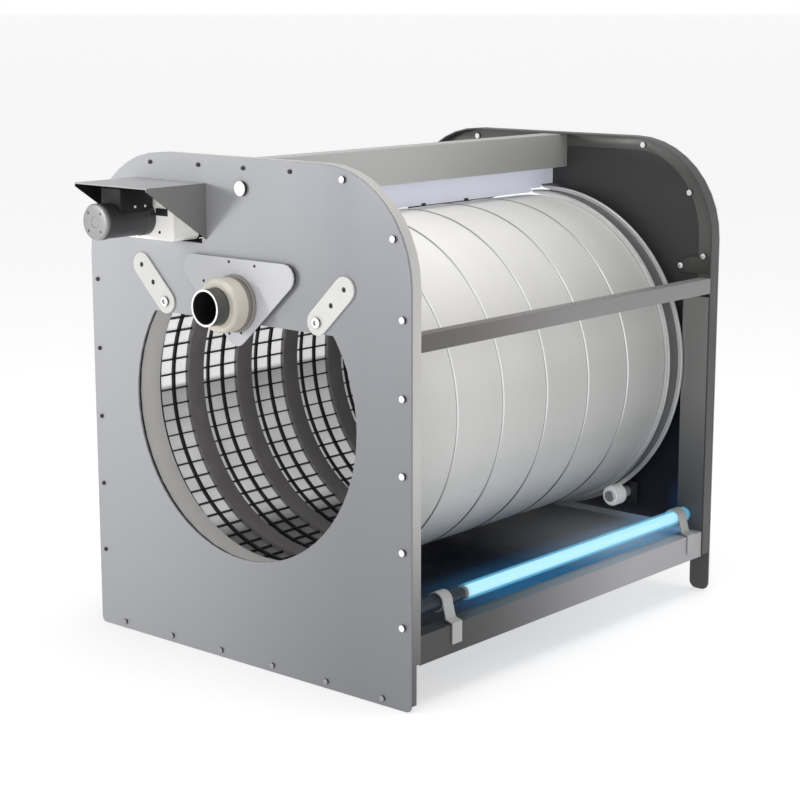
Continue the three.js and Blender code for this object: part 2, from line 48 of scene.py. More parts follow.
# ---- sizes that the frame does not give, in metres ------------------------------------------
PANELS = 6
PANEL_PITCH = 100.4 * MM
HOOP_INNER = 226 * MM
LINING = 233.4 * MM
BARS = (229 * MM, 233.2 * MM)
FRONT_RING_INNER = 217 * MM
FRONT_RING_STEP = 234 * MM
LATTICE_ROWS = 65
SCREW_PITCH = 100 * MM
SCREW_INSET = 13 * MM
SHEET_EDGE = 0.6 * MM
LAMP_DARK = 134 * MM

(FRONT_LOW, FRONT_HIGH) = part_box("front_plate")
(REAR_LOW, REAR_HIGH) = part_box("rear_plate")
FRONT_FACE = FRONT_LOW.y
HALF_WIDTH = FRONT_HIGH.x
TOP = FRONT_HIGH.z
CORNER = 150 * MM
ALONG_Y = Vector((0, 1, 0))
(LAMP_LOW, LAMP_HIGH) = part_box("lamp_tube")
LAMP_X = (LAMP_LOW.x + LAMP_HIGH.x) / 2
LAMP_Z = (LAMP_LOW.z + LAMP_HIGH.z) / 2


# ---- shader helpers ----------------------------------------------------------------------------
class Finish:
    """A material made of nodes: one principled shader and what feeds it."""

    def __init__(self, name, color, roughness, metallic=0.0, **sockets):
        self.material = bpy.data.materials.new(name)
        self.material.use_nodes = True
        self.tree = self.material.node_tree
        self.shader = self.tree.nodes["Principled BSDF"]
        self.color = color
        self.roughness = roughness
        self.set("Base Color", (*color, 1.0))
        self.set("Roughness", roughness)
        self.set("Metallic", metallic)
        for socket, value in sockets.items():
            self.set(socket.replace("_", " "), value)

    def set(self, socket, value):
        self.shader.inputs[socket].default_value = value

    def node(self, kind, **settings):
        made = self.tree.nodes.new(kind)
        for key, value in settings.items():
            if key in made.inputs:
                made.inputs[key].default_value = value
            else:
                setattr(made, key, value)
        return made

    def link(self, source, target):
        self.tree.links.new(source, target)

    def coordinates(self, kind="Object", scale=(1, 1, 1)):
        place = self.node("ShaderNodeTexCoord")
        mapping = self.node("ShaderNodeMapping")
        mapping.inputs["Scale"].default_value = scale
        self.link(place.outputs[kind], mapping.inputs["Vector"])
        return mapping.outputs["Vector"]

    def noise(self, scale, detail=3.0, stretch=(1, 1, 1), kind="Object"):
        made = self.node("ShaderNodeTexNoise", Scale=scale, Detail=detail)
        self.link(self.coordinates(kind, stretch), made.inputs["Vector"])
        return made.outputs["Fac"]

    def across(self, axis, start, end):
        """0 to 1 as one object coordinate goes from start to end."""
        split = self.node("ShaderNodeSeparateXYZ")
        self.link(self.coordinates(), split.inputs["Vector"])
        spread = self.node("ShaderNodeMapRange", interpolation_type="SMOOTHSTEP")
        spread.inputs["From Min"].default_value = start
        spread.inputs["From Max"].default_value = end
        self.link(split.outputs[axis], spread.inputs["Value"])
        return spread.outputs["Result"]

    def stops(self, value, *steps):
        """Colours at given values, blended between them."""
        made = self.node("ShaderNodeValToRGB")
        row = made.color_ramp.elements
        while len(row) < len(steps):
            row.new(1.0)
        for element, (place, color) in zip(row, steps):
            element.position = place
            element.color = (*color, 1.0)
        self.link(value, made.inputs["Fac"])
        return made.outputs["Color"]

    def ramp(self, value, low, high, start=0.3, end=0.7):
        return self.stops(value, (start, low), (end, high))

    def height(self, start, end):
        """The object's Z coordinate as 0 to 1 between two heights, without easing."""
        split = self.node("ShaderNodeSeparateXYZ")
        self.link(self.coordinates(), split.inputs["Vector"])
        spread = self.node("ShaderNodeMapRange")
        spread.inputs["From Min"].default_value = start
        spread.inputs["From Max"].default_value = end
        self.link(split.outputs["Z"], spread.inputs["Value"])
        return spread.outputs["Result"]

    def multiplied(self, first, second):
        made = self.node("ShaderNodeMix", data_type="RGBA", blend_type="MULTIPLY")
        made.inputs["Factor"].default_value = 1.0
        self.link(first, made.inputs["A"])
        self.link(second, made.inputs["B"])
        return made.outputs["Result"]

    def vary_color(self, value, spread, start=0.3, end=0.7):
        low = [c * (1 - spread) for c in self.color]
        high = [min(1.0, c * (1 + spread)) for c in self.color]
        self.link(self.ramp(value, low, high, start, end), self.shader.inputs["Base Color"])

    def vary_roughness(self, value, spread):
        low = [self.roughness - spread] * 3
        high = [self.roughness + spread] * 3
        self.link(self.ramp(value, low, high), self.shader.inputs["Roughness"])

    def bump(self, value, strength, distance):
        made = self.node("ShaderNodeBump", Strength=strength, Distance=distance)
        self.link(value, made.inputs["Height"])
        normal = self.shader.inputs["Normal"]
        if normal.is_linked:
            self.link(normal.links[0].from_socket, made.inputs["Normal"])
        self.link(made.outputs["Normal"], normal)


ACROSS = (0.02, 1.0, 1.0)
DEEP = (1.0, 0.02, 1.0)
UPRIGHT = (1.0, 1.0, 0.02)


def brushed(name, color, roughness, metallic, grain, cloud=0.06):
    """Satin sheet metal: fine lines along one axis, soft clouds and a few smears."""
    finish = Finish(name, color, roughness, metallic)
    finish.vary_color(finish.noise(5.0, 4.0), cloud)
    finish.vary_roughness(finish.noise(14.0, 5.0, grain), 0.07)
    finish.bump(finish.noise(900.0, 2.0, grain), 0.06, 0.0004)
    return finish.material


def drifting(name, low, high, axis, span, grain, roughness=0.42, metallic=0.3, foot=1.0):
    """Brushed sheet with painted light and shade: its tone drifts along one axis, with random clouds, and
    darkens towards its foot.
    """
    finish = Finish(name, low, roughness, metallic)
    total = finish.node("ShaderNodeMath", operation="MULTIPLY_ADD")
    finish.link(finish.noise(4.0, 3.0), total.inputs[0])
    total.inputs[1].default_value = 0.16
    finish.link(finish.across(axis, *span), total.inputs[2])
    shade = finish.ramp(total.outputs[0], low, high, 0.08, 1.08)
    dim = finish.ramp(finish.height(0.05, 0.65), (foot, foot, foot), (1.0, 1.0, 1.0), 0.0, 1.0)
    finish.link(finish.multiplied(shade, dim), finish.shader.inputs["Base Color"])
    finish.vary_roughness(finish.noise(14.0, 5.0, grain), 0.07)
    finish.bump(finish.noise(900.0, 2.0, grain), 0.05, 0.0004)
    return finish.material


def turned_metal(name, color, roughness, metallic):
    """Lathe-turned steel: hair lines round the piece, on surfaces whose UV is in metres."""
    finish = Finish(name, color, roughness, metallic)
    finish.vary_color(finish.noise(6.0, 3.0), 0.05)
    finish.vary_roughness(finish.noise(30.0, 3.0), 0.05)
    finish.bump(finish.noise(700.0, 2.0, (0.01, 1.0, 1.0), "UV"), 0.025, 0.0004)
    return finish.material


def moulded(name, color, roughness, grain=0.03, **sockets):
    """Moulded plastic: a faint orange-peel surface and slightly uneven colour."""
    finish = Finish(name, color, roughness, **sockets)
    finish.vary_color(finish.noise(30.0, 4.0), grain)
    finish.vary_roughness(finish.noise(60.0, 3.0), 0.05)
    finish.bump(finish.noise(1400.0, 2.0), 0.08, 0.0003)
    return finish.material


def add_weave(finish, strength):
    for direction in ("X", "Y"):
        wires = finish.node("ShaderNodeTexWave", Scale=320.0, bands_direction=direction)
        finish.link(finish.coordinates("UV"), wires.inputs["Vector"])
        finish.bump(wires.outputs["Fac"], strength, 0.0004)


def cloth_outside(name):
    """Stainless cloth with painted light and shade: lighter towards the open end, darker towards the closed
    end of the drum, lighter and darker by height, with soft random patches.
    """
    finish = Finish(name, (0.66, 0.655, 0.65), 0.5, 0.05)
    fall = finish.ramp(finish.across("Y", -0.16, 0.40), (0.92, 0.915, 0.90), (0.56, 0.56, 0.555), 0.0, 1.0)
    level = finish.stops(
        finish.height(0.08, 0.60),
        (0.06, (0.92, 0.86, 0.82)), (0.20, (0.80, 0.77, 0.75)), (0.36, (0.63, 0.63, 0.63)),
        (0.60, (0.71, 0.71, 0.71)), (0.80, (0.83, 0.83, 0.83)), (0.95, (0.98, 0.98, 0.97)),
    )
    fall = finish.multiplied(fall, level)
    soft = finish.ramp(finish.noise(3.0, 5.0, (1, 3, 1)), (0.93, 0.93, 0.93), (1.0, 1.0, 1.0))
    finish.link(finish.multiplied(fall, soft), finish.shader.inputs["Base Color"])
    finish.vary_roughness(finish.noise(40.0, 4.0), 0.06)
    add_weave(finish, 0.10)
    return finish.material


def seam_rib(name):
    """Pale rib, painted dark low and high on the drum as shade, so that it reads as a bright line beside
    the drum and a dark one above and under it.
    """
    finish = Finish(name, (0.94, 0.94, 0.94), 0.35)
    shade = finish.stops(
        finish.height(0.08, 0.60),
        (0.22, (0.05, 0.05, 0.05)), (0.40, (0.60, 0.60, 0.60)), (0.52, (0.94, 0.94, 0.94)),
        (0.82, (0.94, 0.94, 0.94)), (0.97, (0.30, 0.29, 0.28)),
    )
    finish.link(shade, finish.shader.inputs["Base Color"])
    finish.vary_roughness(finish.noise(30.0, 3.0), 0.05)
    finish.bump(finish.noise(900.0, 2.0), 0.04, 0.0003)
    return finish.material


def pale_guard(name):
    """Pale bluish sheet with painted light: it glows faintly, more towards the rear."""
    finish = Finish(name, (0.80, 0.82, 0.92), 0.45, 0.05)
    finish.vary_color(finish.noise(5.0, 4.0), 0.04)
    rearward = finish.across("Y", -0.15, 0.38)
    glow = finish.ramp(rearward, (0.085, 0.085, 0.10), (0.165, 0.175, 0.20), 0.0, 1.0)
    finish.link(glow, finish.shader.inputs["Emission Color"])
    finish.set("Emission Strength", 1.0)
    finish.vary_roughness(finish.noise(14.0, 5.0, DEEP), 0.07)
    finish.bump(finish.noise(900.0, 2.0, DEEP), 0.05, 0.0004)
    return finish.material


def lit_cloth(name):
    """The same cloth from inside, with painted light: it glows, bright above the middle and darker below,
    with soft random patches.
    """
    finish = Finish(name, (0.5, 0.5, 0.5), 0.6)
    tones = ((0.06, 0.09), (0.11, 0.52), (0.33, 0.52), (0.476, 0.31), (0.488, 0.85), (1.0, 0.90))
    level = finish.stops(finish.height(0.12, 0.60), *((place, (t, t, t * 1.01)) for place, t in tones))
    soft = finish.ramp(finish.noise(16.0, 2.0), (0.84, 0.84, 0.84), (1.0, 1.0, 1.0))
    shade = finish.multiplied(level, soft)
    finish.link(shade, finish.shader.inputs["Base Color"])
    finish.link(shade, finish.shader.inputs["Emission Color"])
    finish.set("Emission Strength", 0.62)
    add_weave(finish, 0.15)
    return finish.material


def painted_tray(name):
    """Dark blue satin paint with dust and water marks, greyer towards the rear, and painted blue light
    along the side where the lamp is.
    """
    finish = Finish(name, (0.008, 0.009, 0.023), 0.42, 0.1)
    finish.set("Specular IOR Level", 0.25)
    shade = finish.ramp(finish.noise(9.0, 6.0), (0.013, 0.015, 0.030), (0.028, 0.030, 0.040), 0.45, 0.75)
    rear_grey = finish.node("ShaderNodeMix", data_type="RGBA")
    finish.link(finish.across("Y", 0.05, 0.32), rear_grey.inputs["Factor"])
    finish.link(shade, rear_grey.inputs["A"])
    rear_grey.inputs["B"].default_value = (0.40, 0.40, 0.41, 1.0)
    finish.link(rear_grey.outputs["Result"], finish.shader.inputs["Base Color"])
    lit = finish.multiplied(
        finish.ramp(finish.across("X", 0.10, 0.28), (0.0, 0.0, 0.0), (0.0, 0.08, 0.19), 0.1, 1.0),
        finish.ramp(finish.across("Y", -0.20, -0.02), (0.0, 0.0, 0.0), (1.0, 1.0, 1.0), 0.0, 1.0),
    )
    finish.link(lit, finish.shader.inputs["Emission Color"])
    finish.set("Emission Strength", 1.0)
    finish.vary_roughness(finish.noise(25.0, 5.0), 0.12)
    finish.bump(finish.noise(300.0, 3.0), 0.1, 0.0004)
    return finish.material


def rear_inside(name):
    """Dark satin sheet that turns to navy low down, with painted blue light from the lamp near its end."""
    finish = Finish(name, (0.040, 0.040, 0.041), 0.5, 0.3)
    shade = finish.stops(
        finish.height(0.0, 0.60),
        (0.13, (0.075, 0.073, 0.074)), (0.16, (0.012, 0.013, 0.026)),
        (0.52, (0.010, 0.011, 0.020)), (0.85, (0.060, 0.060, 0.060)),
    )
    finish.link(shade, finish.shader.inputs["Base Color"])
    distance = finish.node("ShaderNodeVectorMath", operation="DISTANCE")
    finish.link(finish.coordinates(), distance.inputs[0])
    distance.inputs[1].default_value = (LAMP_X, REAR_LOW.y, LAMP_Z + 12 * MM)
    near = finish.ramp(distance.outputs["Value"], (0.001, 0.022, 0.060), (0.0, 0.0, 0.0), 0.01, 0.05)
    above = finish.ramp(finish.height(0.085, 0.11), (0.0, 0.0, 0.0), (1.0, 1.0, 1.0), 0.0, 1.0)
    finish.link(finish.multiplied(near, above), finish.shader.inputs["Emission Color"])
    finish.set("Emission Strength", 1.0)
    finish.vary_roughness(finish.noise(12.0, 4.0, UPRIGHT), 0.08)
    finish.bump(finish.noise(700.0, 2.0, UPRIGHT), 0.06, 0.0004)
    return finish.material


def quartz_glass(name, lit_from):
    """Clear sleeve with painted light: it glows blue along the lamp's lit stretch."""
    finish = Finish(name, (0.02, 0.05, 0.08), 0.05, IOR=1.46, Alpha=0.22)
    lit = finish.across("Y", lit_from - 4 * MM, lit_from + 6 * MM)
    finish.link(finish.ramp(lit, (0.0, 0.0, 0.0), (0.16, 0.55, 0.80), 0.0, 1.0),
                finish.shader.inputs["Emission Color"])
    finish.set("Emission Strength", 1.0)
    finish.vary_roughness(finish.noise(20.0, 3.0, DEEP), 0.02)
    return finish.material


def glowing(name, color, strength):
    finish = Finish(name, (0.5, 0.5, 0.5), 0.35)
    core = finish.noise(25.0, 3.0, DEEP)
    finish.link(finish.ramp(core, [c * 0.9 for c in color], color), finish.shader.inputs["Emission Color"])
    finish.set("Emission Strength", strength)
    finish.vary_roughness(finish.noise(40.0, 3.0, DEEP), 0.05)
    return finish.material


LOOKS = {
    # The drifting looks paint light and shade: each is lighter or darker along one axis, and the front
    # sheet is darker towards its foot.
    "front_sheet": drifting(
        "front_sheet", (0.44, 0.445, 0.465), (0.265, 0.27, 0.29), "X", (-0.32, 0.32), UPRIGHT, foot=0.76),
    "rim_sheet": drifting(
        "rim_sheet", (0.085, 0.085, 0.088), (0.52, 0.515, 0.505), "Z", (0.02, 0.40), UPRIGHT),
    "rear_rim_sheet": brushed("rear_rim_sheet", (0.08, 0.08, 0.08), 0.42, 0.3, DEEP),
    "rear_lip_sheet": brushed("rear_lip_sheet", (0.125, 0.125, 0.12), 0.42, 0.3, DEEP, 0.2),
    "mid_rail_steel": drifting(
        "mid_rail_steel", (0.115, 0.11, 0.105), (0.25, 0.245, 0.245), "Y", (-0.30, 0.12), DEEP),
    "low_rail_steel": drifting(
        "low_rail_steel", (0.036, 0.038, 0.040), (0.36, 0.35, 0.37), "Y", (-0.22, 0.30), DEEP),
    "post_steel": drifting(
        "post_steel", (0.10, 0.10, 0.105), (0.24, 0.237, 0.232), "Z", (0.12, 0.36), UPRIGHT),
    "cover_sheet": drifting(
        "cover_sheet", (0.48, 0.48, 0.48), (0.42, 0.42, 0.41), "Y", (-0.10, 0.30), DEEP),
    "hood_side": brushed("hood_side", (0.19, 0.187, 0.184), 0.5, 0.1, UPRIGHT, 0.08),
    "guard_sheet": pale_guard("guard_sheet"),
    "rear_sheet": brushed("rear_sheet", (0.22, 0.22, 0.225), 0.48, 0.4, UPRIGHT, 0.12),
    "rear_inside": rear_inside("rear_inside"),
    "gusset_sheet": brushed("gusset_sheet", (0.07, 0.068, 0.063), 0.5, 0.3, ACROSS, 0.1),
    "bracket_sheet": drifting(
        "bracket_sheet", (0.43, 0.435, 0.45), (0.57, 0.575, 0.60), "X", (-0.08, 0.09), ACROSS, 0.4, 0.0),
    "clip_steel": brushed("clip_steel", (0.36, 0.365, 0.365), 0.42, 0.3, UPRIGHT, 0.08),
    "bright_steel": turned_metal("bright_steel", (0.78, 0.78, 0.78), 0.38, 0.6),
    "ring_steel": turned_metal("ring_steel", (0.76, 0.75, 0.735), 0.42, 0.1),
    "groove_steel": turned_metal("groove_steel", (0.11, 0.11, 0.115), 0.45, 0.3),
    "cap_steel": turned_metal("cap_steel", (0.32, 0.32, 0.325), 0.35, 0.3),
    "head_white": turned_metal("head_white", (0.88, 0.88, 0.89), 0.35, 0.1),
    "head_dark": turned_metal("head_dark", (0.022, 0.022, 0.024), 0.45, 0.4),
    "seam_white": moulded("seam_white", (0.94, 0.94, 0.94), 0.35),
    "seam_rib": seam_rib("seam_rib"),
    "screen_mesh": cloth_outside("screen_mesh"),
    "screen_inside": lit_cloth("screen_inside"),
    # The white plastic glows faintly: painted light on the gearbox and wheels where they sit in shade.
    "white_plastic": moulded("white_plastic", (0.90, 0.89, 0.86), 0.42, Emission_Strength=0.15),
    "link_plastic": moulded("link_plastic", (0.66, 0.655, 0.635), 0.42),
    "cream_plastic": moulded("cream_plastic", (0.62, 0.585, 0.50), 0.36),
    "taupe_plastic": moulded("taupe_plastic", (0.25, 0.23, 0.21), 0.45),
    # Near black, as painted shade under the motor hood.
    "hood_shade_black": moulded("hood_shade_black", (0.004, 0.004, 0.004), 0.65),
    "grey_pvc": moulded("grey_pvc", (0.070, 0.070, 0.068), 0.38),
    "dark_plastic": moulded("dark_plastic", (0.020, 0.020, 0.022), 0.45, 0.10),
    "hoop_plastic": moulded("hoop_plastic", (0.20, 0.19, 0.188), 0.50, 0.08),
    "lattice_plastic": moulded("lattice_plastic", (0.006, 0.006, 0.007), 0.45, 0.10),
    "motor_can": moulded("motor_can", (0.060, 0.061, 0.064), 0.40, 0.08, Metallic=0.2),
    "seal_rubber": moulded("seal_rubber", (0.012, 0.012, 0.013), 0.70, 0.10),
    "tray_sheet": painted_tray("tray_sheet"),
    "quartz": quartz_glass("quartz", LAMP_LOW.y + LAMP_DARK),
    "lamp_glow": glowing("lamp_glow", (0.42, 0.74, 0.88), 0.95),
}


# ---- mesh helpers --------------------------------------------------------------------------------
def new_object(name, mesh, look):
    piece = bpy.data.objects.new(name, mesh)
    bpy.context.scene.collection.objects.link(piece)
    mesh.materials.append(LOOKS[look])
    return piece


def smooth(mesh, angle=30.0):
    mesh.shade_smooth()
    mesh.set_sharp_from_angle(angle=math.radians(angle))


def fit(piece, body, slot, *nodes):
    """The piece rides on its body and stands for these CAD nodes. The slot is not used."""
    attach(piece, body)
    if nodes:
        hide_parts(*nodes)
    return piece


def weighted(piece):
    modifier = piece.modifiers.new("weighted", "WEIGHTED_NORMAL")
    modifier.keep_sharp = True
    return piece


def refined(node, look, slot, width=SHEET_EDGE, segments=2, body="frame"):
    """A CAD node's own shape with its sharp edges rounded."""
    work = bmesh.new()
    work.from_mesh(NODES[node].data)
    bmesh.ops.remove_doubles(work, verts=work.verts, dist=1e-5)
    bmesh.ops.dissolve_limit(work, angle_limit=math.radians(1), verts=work.verts, edges=work.edges)
    sharp = [e for e in work.edges if e.is_manifold and e.calc_face_angle() > math.radians(30)]
    bmesh.ops.bevel(work, geom=sharp, offset=width, segments=segments, profile=0.5,
                    affect="EDGES", clamp_overlap=True)
    work.verts.index_update()
    points = [v.co.copy() for v in work.verts]
    faces = [[v.index for v in f.verts] for f in work.faces]
    work.free()
    mesh = bpy.data.meshes.new(node + "_shell")
    mesh.from_pydata(points, [], faces)
    smooth(mesh, 40.0)
    piece = weighted(new_object(node + "_shell", mesh, look))
    return fit(piece, body, slot, node)


def about(node):
    """Centre x and z, outer radius and first and last y of a round CAD node that lies along Y."""
    low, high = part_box(node)
    return (low.x + high.x) / 2, (low.z + high.z) / 2, (high.x - low.x) / 2, low.y, high.y


def eased(profile, radius, closed=True, steps=3):
    """A profile of (r, y) points with its corners rounded."""
    points = [Vector(p) for p in profile]
    count = len(points)
    out = []
    for i, p in enumerate(points):
        if not closed and i in (0, count - 1):
            out.append(p)
            continue
        before, after = points[i - 1], points[(i + 1) % count]
        reach = min(radius, (before - p).length * 0.45, (after - p).length * 0.45)
        start = p + (before - p).normalized() * reach
        end = p + (after - p).normalized() * reach
        for k in range(steps + 1):
            t = k / steps
            out.append(start * (1 - t) ** 2 + p * (2 * t * (1 - t)) + end * t ** 2)
    return [(p.x, p.y) for p in out]


def lathe(name, profile, x, z, look, segments=192, closed=True, angle=30.0):
    """A (r, y) profile turned about a line along Y. UV is in metres, round and along the profile."""
    rows = profile + [profile[0]] if closed else profile
    steps = [0.0]
    for (r0, y0), (r1, y1) in zip(rows, rows[1:]):
        steps.append(steps[-1] + math.hypot(r1 - r0, y1 - y0))
    work = bmesh.new()
    uv = work.loops.layers.uv.new("UVMap")
    rings = []
    for r, y in profile:
        if r < 1e-6:
            rings.append([work.verts.new((x, y, z))] * segments)
            continue
        turn = [2 * math.pi * k / segments for k in range(segments)]
        rings.append([work.verts.new((x + r * math.cos(a), y, z + r * math.sin(a))) for a in turn])
    width = max(r for r, _ in profile) * 2 * math.pi
    for i in range(len(rows) - 1):
        low, high = rings[i], rings[(i + 1) % len(profile)]
        for k in range(segments):
            n = (k + 1) % segments
            corners = [(low[k], k, i), (low[n], k + 1, i), (high[n], k + 1, i + 1), (high[k], k, i + 1)]
            unique = []
            for corner in corners:
                if all(corner[0] is not other[0] for other in unique):
                    unique.append(corner)
            if len(unique) < 3:
                continue
            face = work.faces.new([c[0] for c in unique])
            for loop, (_, step, row) in zip(face.loops, unique):
                loop[uv].uv = (width * step / segments, steps[row])
    bmesh.ops.recalc_face_normals(work, faces=work.faces)
    mesh = bpy.data.meshes.new(name)
    work.to_mesh(mesh)
    work.free()
    smooth(mesh, angle)
    return new_object(name, mesh, look)


def ring(name, node, inner, look, slot, body="frame", ease=0.5 * MM, segments=192):
    """A plain ring or tube in the place of a CAD node."""
    x, z, outer, y0, y1 = about(node)
    profile = eased([(inner, y0), (outer, y0), (outer, y1), (inner, y1)], ease)
    return fit(lathe(name, profile, x, z, look, segments), body, slot, node)


def merged(name, pieces, look):
    """Several meshes, given as (points, faces), as one object."""
    points, faces = [], []
    for some_points, some_faces in pieces:
        offset = len(points)
        points.extend(some_points)
        faces.extend([[i + offset for i in face] for face in some_faces])
    mesh = bpy.data.meshes.new(name)
    mesh.from_pydata(points, [], faces)
    smooth(mesh, 40.0)
    return new_object(name, mesh, look)


def turned_points(profile, sides):
    """Points and faces of a (radius, height) profile turned about +Z, starting and ending on the axis."""
    points, faces = [], []
    rows = []
    for r, h in profile:
        if r < 1e-7:
            rows.append([len(points)])
            points.append(Vector((0, 0, h)))
            continue
        rows.append(list(range(len(points), len(points) + sides)))
        for k in range(sides):
            a = 2 * math.pi * k / sides
            points.append(Vector((r * math.cos(a), r * math.sin(a), h)))
    for low, high in zip(rows, rows[1:]):
        for k in range(sides):
            n = (k + 1) % sides
            corners = [low[k % len(low)], low[n % len(low)], high[n % len(high)], high[k % len(high)]]
            face = [c for i, c in enumerate(corners) if c not in corners[:i]]
            if len(face) > 2:
                faces.append(face)
    return points, faces


def aimed(shape, place, direction, spin=0.0):
    """The shape moved to a place with its +Z along a direction."""
    turn = Vector(direction).to_track_quat("Z", "Y").to_matrix().to_4x4()
    matrix = Matrix.Translation(place) @ turn @ Matrix.Rotation(spin, 4, "Z")
    points, faces = shape
    return [matrix @ p for p in points], faces


def screw_head(radius, height):
    """Domed head with a round socket."""
    socket = radius * 0.38
    return turned_points([
        (0, height * 0.35), (socket, height * 0.35), (socket, height * 0.98), (radius * 0.6, height * 0.92),
        (radius * 0.85, height * 0.68), (radius, height * 0.25), (radius, 0), (0, 0),
    ], 20)


def hex_nut(radius, height):
    profile = [(0, height), (radius * 0.9, height), (radius, height * 0.85), (radius, 0), (0, 0)]
    return turned_points(profile, 6)


def cap_head(radius, height):
    """Cylindrical head with a slightly domed face."""
    return turned_points([
        (0, height), (radius * 0.6, height * 0.98), (radius * 0.92, height * 0.9), (radius, height * 0.75),
        (radius, 0), (0, 0),
    ], 24)


def repaint(piece, look, chosen):
    """A second look on the faces that the test picks by their normal and centre."""
    piece.data.materials.append(LOOKS[look])
    index = len(piece.data.materials) - 1
    for face in piece.data.polygons:
        if chosen(face.normal, face.center):
            face.material_index = index
    return piece


def screws(name, places, direction, radius, face="head_white", side="head_dark", shape=screw_head,
           height=0.6, body="frame"):
    """Heads of one kind: a face of one look, and sides of another; a dark side under a pale face is painted
    shade.
    """
    head = shape(radius, radius * height)
    turn = random.Random(name)
    pieces = [aimed(head, place, direction, turn.uniform(0, 6.28)) for place in places]
    piece = merged(name, pieces, face)
    outward_normals(piece)
    repaint(piece, side, lambda normal, centre: normal.dot(Vector(direction)) < 0.35)
    return fit(piece, body, "bright_steel")


def outward_normals(piece):
    work = bmesh.new()
    work.from_mesh(piece.data)
    bmesh.ops.recalc_face_normals(work, faces=work.faces)
    work.to_mesh(piece.data)
    work.free()


def rounded_blocks(name, blocks, look, radius):
    """Blocks, given as (low, high) corners, with rounded edges, as one object."""
    work = bmesh.new()
    for low, high in blocks:
        size = Vector(high) - Vector(low)
        centre = (Vector(high) + Vector(low)) / 2
        matrix = Matrix.Translation(centre) @ Matrix.Diagonal((*size, 1.0))
        bmesh.ops.create_cube(work, size=1.0, matrix=matrix)
    bmesh.ops.bevel(work, geom=work.edges[:], offset=radius, segments=3, profile=0.5, affect="EDGES")
    mesh = bpy.data.meshes.new(name)
    work.to_mesh(mesh)
    work.free()
    smooth(mesh, 40.0)
    return new_object(name, mesh, look)


def flat_plate(name, outline, y0, y1, look, radius=0.5 * MM):
    """An outline of (x, z) points as a plate between two depths, with rounded edges."""
    work = bmesh.new()
    front = [work.verts.new((x, y0, z)) for x, z in outline]
    rear = [work.verts.new((x, y1, z)) for x, z in outline]
    work.faces.new(front)
    work.faces.new(rear[::-1])
    for i in range(len(outline)):
        n = (i + 1) % len(outline)
        work.faces.new([front[n], front[i], rear[i], rear[n]])
    bmesh.ops.recalc_face_normals(work, faces=work.faces)
    sharp = [e for e in work.edges if e.calc_face_angle(0) > math.radians(40)]
    bmesh.ops.bevel(work, geom=sharp, offset=radius, segments=2, profile=0.5, affect="EDGES")
    mesh = bpy.data.meshes.new(name)
    work.to_mesh(mesh)
    work.free()
    smooth(mesh, 40.0)
    return new_object(name, mesh, look)


# ---- drum ----------------------------------------------------------------------------------------
def seam_places():
    """Where each panel of cloth joins the next, along Y."""
    places = [about(f"lattice_{i + 1}")[3] + 14.5 * MM for i in range(1, PANELS)]
    return [places[0] - PANEL_PITCH] + places


def drum_screen():
    """The cloth outside, a groove and a pale rib at each panel's joint, and the side within, which glows
    with painted light.
    """
    x, z, outer, y0, y1 = about("screen")
    skin = 1.2 * MM
    outside = [(outer - 0.9 * MM, y0)]
    for i, y in enumerate(seam_places()):
        outside += [
            (outer - 0.9 * MM, y - 2.8 * MM), (outer - 2.0 * MM, y - 2.5 * MM),
            (outer - 2.0 * MM, y - 1.7 * MM), (outer - 0.9 * MM, y - 1.4 * MM),
        ]
        rib = [(outer - 1.2 * MM, y - 1.5 * MM), (outer, y - 1.2 * MM), (outer, y + 1.2 * MM),
               (outer - 1.2 * MM, y + 1.6 * MM)]
        fit(lathe(f"seam_rib_{i + 1}", eased(rib, 0.4 * MM), x, z, "seam_rib", 240), "drum", "screen_mesh")
    outside.append((outer - 0.9 * MM, y1))
    inner = outer - 0.9 * MM - skin - 1.0 * MM
    profile = outside + [(inner, y1), (inner, y0)]
    cloth = lathe("screen_cloth", profile, x, z, "screen_mesh", 240, angle=40.0)

    def in_groove(normal, centre):
        reach = math.hypot(centre.x - x, centre.z - z)
        return centre.y > y1 - 1 * MM or inner + 0.2 * MM < reach < outer - 1.5 * MM

    # Painted shade: the grooves and the cloth's cut ends are near black.
    repaint(cloth, "head_dark", in_groove)
    fit(cloth, "drum", "screen_mesh", "screen")
    for i in range(PANELS):
        _, _, _, low, high = about(f"lattice_{i + 1}")
        inside = [(LINING, low), (LINING + skin, low), (LINING + skin, high), (LINING, high)]
        fit(lathe(f"screen_lining_{i + 1}", inside, x, z, "screen_inside", 240), "drum", "screen_mesh")


def bar_ring(x, z, y0, y1, segments):
    """A black ring of a lattice, as points and faces."""
    low, high = BARS
    points, faces = [], []
    for k in range(segments):
        angle = 2 * math.pi * k / segments
        for r, y in ((low, y0), (low, y1), (high, y1), (high, y0)):
            points.append(Vector((x + r * math.cos(angle), y, z + r * math.sin(angle))))
        n = (k + 1) % segments
        faces += [[4 * k + c, 4 * n + c, 4 * n + (c + 1) % 4, 4 * k + (c + 1) % 4] for c in range(4)]
    return points, faces


def row_bar(x, z, y0, y1, angle, half):
    """A black bar across the lattice between two rows of cells."""
    low, high = BARS[0] + 0.6 * MM, BARS[1]
    corners = ((low, angle - half), (high, angle - half), (high, angle + half), (low, angle + half))
    points = [Vector((x + r * math.cos(a), y, z + r * math.sin(a))) for y in (y0, y1) for r, a in corners]
    faces = [[0, 1, 2, 3], [7, 6, 5, 4]] + [[c, c + 4, (c + 1) % 4 + 4, (c + 1) % 4] for c in range(4)]
    return points, faces


